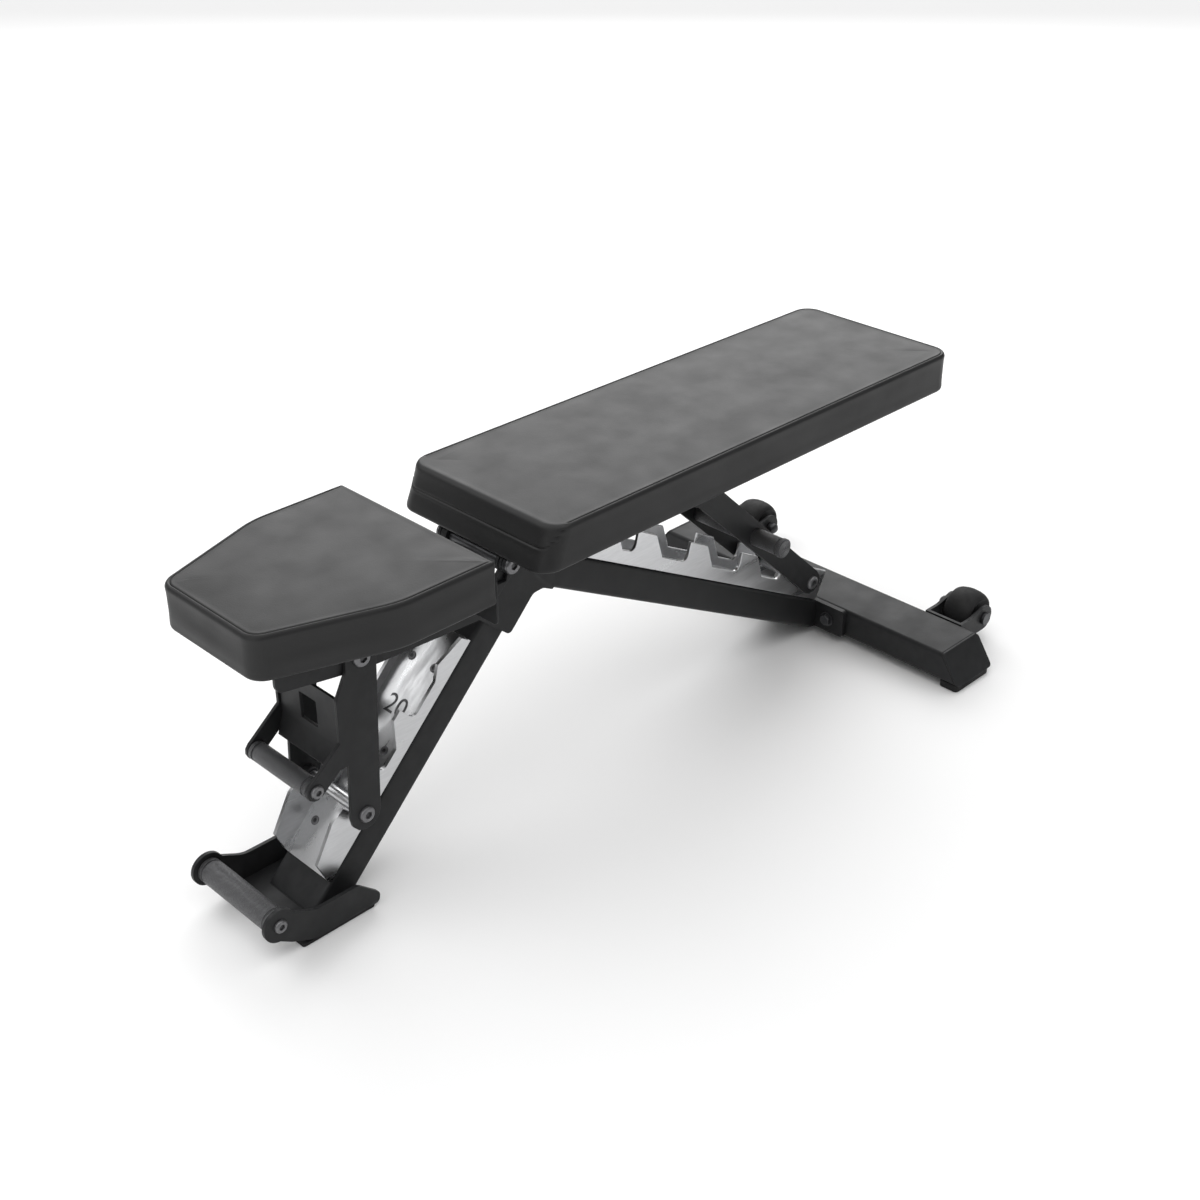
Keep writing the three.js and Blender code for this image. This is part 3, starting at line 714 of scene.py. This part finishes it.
for side, sign in SIDES:
    # Each bolt's head: radius and height in metres, and its seat's distance from the middle in mm.
    for node, body, radius, height, y in (
        ("front_handle_bolt", "base", 0.0085, 0.0042, 75.7),
        ("seat_rod_bolt", "seat_strut", 0.0105, 0.0048, 62.2),
        ("seat_handle_bolt", "seat_strut", 0.0085, 0.0045, 62.2),
        ("back_rod_bolt", "back_strut", 0.0105, 0.0052, 56.2),
    ):
        where = centre_of(f"{node}_{side}")
        where.y = sign * y / 1000
        socket_bolt(
            f"{node}_head_{side}", where, (0, sign, 0), radius, height, body, f"{node}_{side}"
        )
    bolt = f"flange_bolt_{side}"
    hex_bolt(f"{bolt}_head", at(724.9, sign * 68, 34), (-1, 0, 0), 0.0078, 0.0072, "base", bolt)



def ladder_screw(name, where, out):
    """A low socket screw that holds a toothed channel on its tube."""
    socket_bolt(name, where, out, SCREW_RADIUS, SCREW_HEIGHT, "base")


screws = [(97, -23), (97, 23), (214, -18), (214, 18), (331, -21), (331, 21)]
for number, (along, across) in enumerate(screws):
    ladder_screw(f"seat_ladder_screw_{number}", on_post(along, across, WEB_FACE), post_out)
for number, along in enumerate((20, 150, 300, 430, 540)):
    for side, sign in SIDES:
        where = on_beam(along, sign * 24, WEB_FACE)
        ladder_screw(f"back_ladder_screw_{number}_{side}", where, beam_out)

# The tilt angle marked beside the top notch.
words = bpy.data.curves.new("angle_mark", "FONT")
words.body = "20"
words.size = 0.036
words.align_x = "CENTER"
words.align_y = "CENTER"
words.extrude = 0.00012
mark = bpy.data.objects.new("angle_mark_text", words)
SCENE.collection.objects.link(mark)
across_axis = Vector((0, -1, 0))
mark.matrix_world = Matrix.Translation(on_post(267, 2, 5.45)) @ Matrix((
    (across_axis.x, post_up.x, post_out.x, 0),
    (across_axis.y, post_up.y, post_out.y, 0),
    (across_axis.z, post_up.z, post_out.z, 0),
    (0, 0, 0, 1),
))
words.materials.append(RECESS_SHADE_AND_PRINT)
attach(mark, "base")

# ---- studio ----------------------------------------------------------------------

floor_mesh = bpy.data.meshes.new("floor")
reach = FLOOR_REACH
floor_corners = [(-reach, -reach, 0), (reach, -reach, 0), (reach, reach, 0), (-reach, reach, 0)]
floor_mesh.from_pydata(floor_corners, [], [(0, 1, 2, 3)])
floor_surface = Surface("floor", (0.93, 0.93, 0.93), 0.9, specular=0.1)
floor = link("floor", floor_mesh, floor_surface.material)

# The world is one great soft dome: bright overhead and dim near the horizon.
world = bpy.data.worlds.new("studio")
world.use_nodes = True
sky = world.node_tree
parts = sky.nodes.new("ShaderNodeSeparateXYZ")
sky.links.new(sky.nodes.new("ShaderNodeTexCoord").outputs["Generated"], parts.inputs["Vector"])
dome = sky.nodes.new("ShaderNodeMapRange")
dome.interpolation_type = "SMOOTHSTEP"
dome.inputs["From Min"].default_value = DOME_FROM
dome.inputs["From Max"].default_value = 1.0
dome.inputs["To Min"].default_value = DOME_LOW
dome.inputs["To Max"].default_value = DOME_HIGH
sky.links.new(parts.outputs["Z"], dome.inputs["Value"])
sky.links.new(dome.outputs["Result"], sky.nodes["Background"].inputs["Strength"])
sky.nodes["Background"].inputs["Color"].default_value = (1, 1, 1, 1)
SCENE.world = world


def softbox(name, where, target, width, height, power):
    """A rectangular lamp at a point, turned to face another."""
    light = bpy.data.lights.new(name, "AREA")
    light.shape = "RECTANGLE"
    light.size = width
    light.size_y = height
    light.energy = power
    obj = bpy.data.objects.new(name, light)
    SCENE.collection.objects.link(obj)
    obj.location = where
    obj.rotation_euler = (Vector(target) - Vector(where)).to_track_quat("-Z", "Y").to_euler()


softbox("back_light", (2.9, 2.9, 2.3), (0, 0, 0.4), 4.4, 2.2, 105)
softbox("left_light", (-1.9, 2.4, 2.6), (-0.3, 0, 0.2), 2.0, 2.0, 22)
softbox("front_light", (-2.6, -0.6, 1.2), (0, 0, 0.2), 1.4, 0.8, 9)

camera = bpy.data.cameras.new("camera")
camera.lens = 50.25
camera.sensor_width = 36
viewer = bpy.data.objects.new("camera", camera)
SCENE.collection.objects.link(viewer)
SCENE.camera = viewer
azimuth, elevation = math.radians(CAMERA_AZIMUTH), math.radians(CAMERA_ELEVATION)
towards_camera = Vector((
    math.sin(azimuth) * math.cos(elevation),
    -math.cos(azimuth) * math.cos(elevation),
    math.sin(elevation),
))
viewer.location = at(-1085.8, -1387.6, 1346.7)
viewer.rotation_mode = "QUATERNION"
viewer.rotation_quaternion = (-towards_camera).to_track_quat("-Z", "Y")
SCENE.view_settings.view_transform = "Standard"

bpy.context.view_layer.update()
